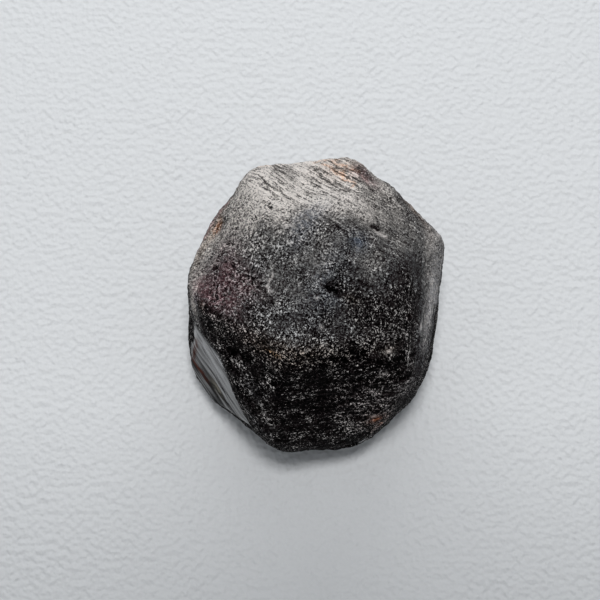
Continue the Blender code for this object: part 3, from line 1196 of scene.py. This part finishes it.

# %% [markdown]
# ## The weathered skin's colour
#
# The grain is laid over the shade in the same logarithm, and one exponential turns the sum into a share
# of light. So a ridge is paler than the valley beside it, partly as wear and partly as painted shade in
# the valleys, and the darker the skin, the deeper the difference: the black faces sparkle with painted
# sparks and the dusty ones only look brushed. A mix of a pale and a dark colour would be simpler, but it
# would give every face the same contrast. Ridges wear pale only so far, while valleys go black with
# painted shade. The stains then multiply that grey, and the grain stays visible through them. A stain
# fills the valleys first, and leaves the palest ridges as they are. Where there is no stain, how dark the
# skin is decides its tint: warm dust, plain grey, then a purple brown.

# %% Choose the skin's colours
Stain = namedtuple("Stain", "tint shade")
STAINS = {
    # the blue-grey sheen is a painted reflection
    "blue": Stain((0.84, 0.98, 1.25, 1), 0.15),
    "red": Stain((1.75, 0.70, 0.84, 1), -0.15),
    "ochre": Stain((1.55, 0.95, 0.50, 1), -0.15),
    "rust": Stain((1.70, 0.88, 0.46, 1), -0.55),
    "amber": Stain((1.75, 0.62, 0.28, 1), -1.00),
    "pale": Stain((1.08, 0.99, 0.95, 1), 0.0),
}
DUST_TINT = (1.07, 1.0, 0.945, 1)
GREY_TINT = (0.99, 1.0, 1.01, 1)
SPARK_TINT = (1.05, 1.0, 0.97, 1)
DARK_TINT = (1.30, 0.91, 0.98, 1)
print(len(STAINS), "stains")

# %% Colour the weathered skin
DUST_LEVEL = math.log(0.5)  # darkness is counted from here
PALE_LEVEL = math.log(0.85)
MOST_LIGHT = 0.94
GRAIN_IN_DUST = 0.62
GRAIN_PER_DARKNESS = 0.12
MOST_GRAIN = 2.8
RIDGE_SHARE = 0.55  # how far a ridge goes for each step that a valley goes
SPARKS = {"Size": 0.17, "Level": 1.8}
# how much the painted sparks brighten a grain
SPARK_HIGHLIGHT_LEVEL = 1.9
# painted shade in the cracks and pits
CRACK_SHADE_LEVEL = -2.6
UNEVEN_SIZE, CLOUDY_SIZE = 1.6, 0.4

# Each range has where it starts and where it ends, and some have what they give at the two ends.
UNEVEN_GRAIN = (0.3, 0.7, 0.50, 1.05)
VALLEYS_TO_RIDGES = (0.1, 1.1, 1.0, 0.30)
CLOUDY_STAIN = (0.35, 0.55, 0.25, 1.0)
SOAKED = (0.80, 1.0)
DUST_TO_GREY = (0.1, 2.5)
GREY_TO_SPARKS = (1.9, 3.2)
TINT_TO_DARK = (1.9, 3.3)


def grey_of(tree, value):
    """A grey as bright as the value."""
    node = tree.nodes.new("ShaderNodeCombineColor")
    for socket in node.inputs:
        feed(tree, socket, value)
    return node.outputs["Color"]


def pull(tree, value, to_value, share):
    """A value moved this share of the way to another."""
    return calculate(tree, "MULTIPLY_ADD", calculate(tree, "SUBTRACT", to_value, value), share, value)


def depth_of_grain(tree, place, share, darkness):
    squared = calculate(tree, "MULTIPLY", darkness, darkness)
    depth = calculate(tree, "MULTIPLY_ADD", squared, GRAIN_PER_DARKNESS, GRAIN_IN_DUST)
    depth = calculate(tree, "MINIMUM", depth, MOST_GRAIN)
    uneven = noise_of(tree, place, UNEVEN_SIZE, detail=1.0)
    depth = calculate(tree, "MULTIPLY", depth, ramp(tree, uneven, *UNEVEN_GRAIN))
    return calculate(tree, "MULTIPLY", depth, share["grain_depth"])


def skin_level(tree, place, share, grain, darkness):
    """The shade with the grain, the painted sparks and the painted shade of cracks and pits laid over it.
    """
    # Ridges are worn paler, and valleys are darkened as painted shade in the creases.
    ridges = calculate(tree, "MULTIPLY", calculate(tree, "MAXIMUM", grain, 0.0), RIDGE_SHARE)
    worn_and_shaded = calculate(tree, "ADD", calculate(tree, "MINIMUM", grain, 0.0), ridges)
    depth = depth_of_grain(tree, place, share, darkness)
    level = calculate(tree, "MULTIPLY_ADD", worn_and_shaded, depth, share["shade"])
    # painted sparks: single grains painted brighter as highlights
    spark_highlights = use_group(tree, sparks, Place=place, **SPARKS)["Mask"]
    spark_highlights = calculate(tree, "MULTIPLY", spark_highlights, share["grain_depth"])
    level = calculate(tree, "MULTIPLY_ADD", spark_highlights, SPARK_HIGHLIGHT_LEVEL, level)
    return calculate(tree, "MULTIPLY_ADD", share["dark"], CRACK_SHADE_LEVEL, level)


def soak_stains(tree, place, share, proud):
    """How strong each stain is, by how proud of its surroundings the skin stands."""
    valley = ramp(tree, proud, *VALLEYS_TO_RIDGES)
    cloudy = noise_of(tree, place, CLOUDY_SIZE, detail=3.0, roughness=0.65)
    valley = calculate(tree, "MULTIPLY", valley, ramp(tree, cloudy, *CLOUDY_STAIN))
    strong = {}
    for name in STAINS:
        filled = calculate(tree, "MAXIMUM", valley, ramp(tree, share[name], *SOAKED))
        strong[name] = calculate(tree, "MULTIPLY", share[name], filled)
    return strong


def skin_tint(tree, darkness, level, strong):
    tint = blend_colours(tree, ramp(tree, darkness, *DUST_TO_GREY), DUST_TINT, GREY_TINT)
    tint = blend_colours(tree, ramp(tree, darkness, *GREY_TO_SPARKS), tint, SPARK_TINT)
    below_dust = calculate(tree, "SUBTRACT", DUST_LEVEL, level)
    tint = blend_colours(tree, ramp(tree, below_dust, *TINT_TO_DARK), tint, DARK_TINT)
    for name, stain in STAINS.items():
        tint = blend_colours(tree, strong[name], tint, stain.tint)
    return tint


def skin_colour(tree, place, share, grain):
    darkness = calculate(tree, "SUBTRACT", DUST_LEVEL, share["shade"])
    level = skin_level(tree, place, share, grain, darkness)
    proud = calculate(tree, "SUBTRACT", level, share["shade"])
    strong = soak_stains(tree, place, share, proud)
    for name, stain in STAINS.items():
        level = calculate(tree, "MULTIPLY_ADD", strong[name], stain.shade, level)
    level = pull(tree, level, PALE_LEVEL, share["pale"])
    light = calculate(tree, "MINIMUM", calculate(tree, "EXPONENT", level), MOST_LIGHT)
    tint = skin_tint(tree, darkness, level, strong)
    return blend_colours(tree, 1.0, grey_of(tree, light), tint, "MULTIPLY")


print("the palest skin gives back", MOST_LIGHT, "of the light")

# %% [markdown]
# ## The fresh break
#
# Under its gloss a fresh break in garnet is nearly black, with milky streaks where it is full of tiny
# cracks. Their grey also stands in for the streaky reflection of the room, so it is partly a painted
# reflection, and the break's glints are painted highlights. Garnet bends light strongly, but only the
# break is polished enough to show it, so a clear coat with garnet's index of refraction covers the break
# alone. A low roughness would do the same with one socket less, but it would also shine through the rust
# and the dust, and here each of them takes its share of the coat away.

# %% Colour the fresh break
GLASS_COLOUR = (0.006, 0.006, 0.0065, 1)
# milky grey, partly a painted reflection of the room
CLOUD_AND_REFLECTION_COLOUR = (0.10, 0.105, 0.11, 1)
RUST_ON_BREAK = (0.085, 0.018, 0.007, 1)
OCHRE_ON_BREAK = (0.27, 0.25, 0.205, 1)
# the grey of the painted glint
GLINT_COLOUR = (0.30, 0.31, 0.33, 1)
STREAKS = {"Spacing": 0.60, "Stretch": 9.0}
CLOUDED_STREAKS = (-0.8, 1.2)
CLOUDED_PATCH_WIDTH, CLOUDED_PATCHES = 2.0, (0.36, 0.62, 0.25, 1.0)
CLOUD_LOST_LOW_DOWN = -0.7
SHINE, SHINE_IN_STREAKS = 0.84, 0.26
SHINE_LOST_LOW_DOWN = -0.55
SHINE_LOST_TO_STAINS = -0.8


def cloud_and_reflection_of(tree, place, share, streaks):
    """How milky the break is: a grey that also stands in for its streaky reflection, a painted reflection.
    """
    swells = noise_of(tree, place, CLOUDED_PATCH_WIDTH, detail=1.5)
    swells = ramp(tree, swells, *CLOUDED_PATCHES)
    cloud = calculate(tree, "MULTIPLY", ramp(tree, streaks, *CLOUDED_STREAKS), swells)
    kept = calculate(tree, "MULTIPLY_ADD", share["low_on_break"], CLOUD_LOST_LOW_DOWN, 1.0)
    return calculate(tree, "MULTIPLY", cloud, kept)


def shine_of(tree, share, streaks):
    """How much coat the break has."""
    shine = calculate(tree, "MULTIPLY_ADD", streaks, SHINE_IN_STREAKS, SHINE)
    shine = calculate(tree, "MULTIPLY_ADD", share["low_on_break"], SHINE_LOST_LOW_DOWN, shine)
    shine = calculate(tree, "ADD", shine, share["glint"])
    for name in ("step_lines", "rust", "ochre"):
        shine = calculate(tree, "MULTIPLY_ADD", share[name], SHINE_LOST_TO_STAINS, shine)
    shine = calculate(tree, "MINIMUM", calculate(tree, "MAXIMUM", shine, 0.0), 1.0)
    return calculate(tree, "MULTIPLY", shine, share["fresh"])


def break_colour(tree, place, share):
    """The colour under the clear coat, and how much coat there is."""
    along, into = tuple(toward(*HACKLE_ALONG)), tuple(toward(*BREAK_TOWARD))
    streaks = use_group(tree, growth_lines, Place=place, Along=along, Into=into, **STREAKS)["Height"]
    colour = blend_colours(tree, cloud_and_reflection_of(tree, place, share, streaks), GLASS_COLOUR, CLOUD_AND_REFLECTION_COLOUR)
    colour = blend_colours(tree, share["rust"], colour, RUST_ON_BREAK)
    colour = blend_colours(tree, share["ochre"], colour, OCHRE_ON_BREAK)
    # painted highlight along the break's edges
    colour = blend_colours(tree, share["glint"], colour, GLINT_COLOUR)
    colour = blend_colours(tree, share["step_lines"], colour, GLASS_COLOUR)
    return colour, shine_of(tree, share, streaks)


print("the break shines", SHINE, "where nothing dulls it")

# %% [markdown]
# ## One material for the whole stone
#
# Skin and break are one stone, so one material has both, and the painted share of fresh break says which
# of the two a place has. Two materials would meet in a hard edge along the net's squares. The skin is
# given little gloss, or it would look like wet tar. The stone is treated as opaque, and the red light that
# comes through a real one at one corner is painted.

# %% Mix the garnet
SKIN_ROUGHNESS = 0.62
SKIN_GLOSS = 0.02
REFRACTION = 1.79
COAT_ROUGHNESS = 0.17
GRAIN_BUMP = 0.020


def mix_garnet():
    material = bpy.data.materials.new("garnet")
    material.use_nodes = True
    tree = material.node_tree
    shader = tree.nodes["Principled BSDF"]
    shader.inputs["Roughness"].default_value = SKIN_ROUGHNESS
    shader.inputs["Specular IOR Level"].default_value = SKIN_GLOSS
    shader.inputs["Coat IOR"].default_value = REFRACTION
    shader.inputs["Coat Roughness"].default_value = COAT_ROUGHNESS
    place = place_in_mm(tree)
    share = {name: read_share(tree, name) for name in painted}
    grain = grain_of(tree, place, share)
    under_coat, coat = break_colour(tree, place, share)
    colour = skin_colour(tree, place, share, grain)
    feed(tree, shader.inputs["Base Color"], blend_colours(tree, share["fresh"], colour, under_coat))
    feed(tree, shader.inputs["Coat Weight"], coat)
    weathered = calculate(tree, "SUBTRACT", 1.0, share["fresh"])
    relief = calculate(tree, "MULTIPLY", grain, weathered)
    feed(tree, shader.inputs["Normal"], bump(tree, relief, GRAIN_BUMP))
    return material


garnet = mix_garnet()
stone.data.materials.clear()
stone.data.materials.append(garnet)
print("garnet mixed from", len(garnet.node_tree.nodes), "nodes")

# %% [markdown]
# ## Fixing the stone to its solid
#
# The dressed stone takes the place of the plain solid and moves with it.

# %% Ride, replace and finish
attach(stone, "root")
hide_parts(SOLID_NAME)
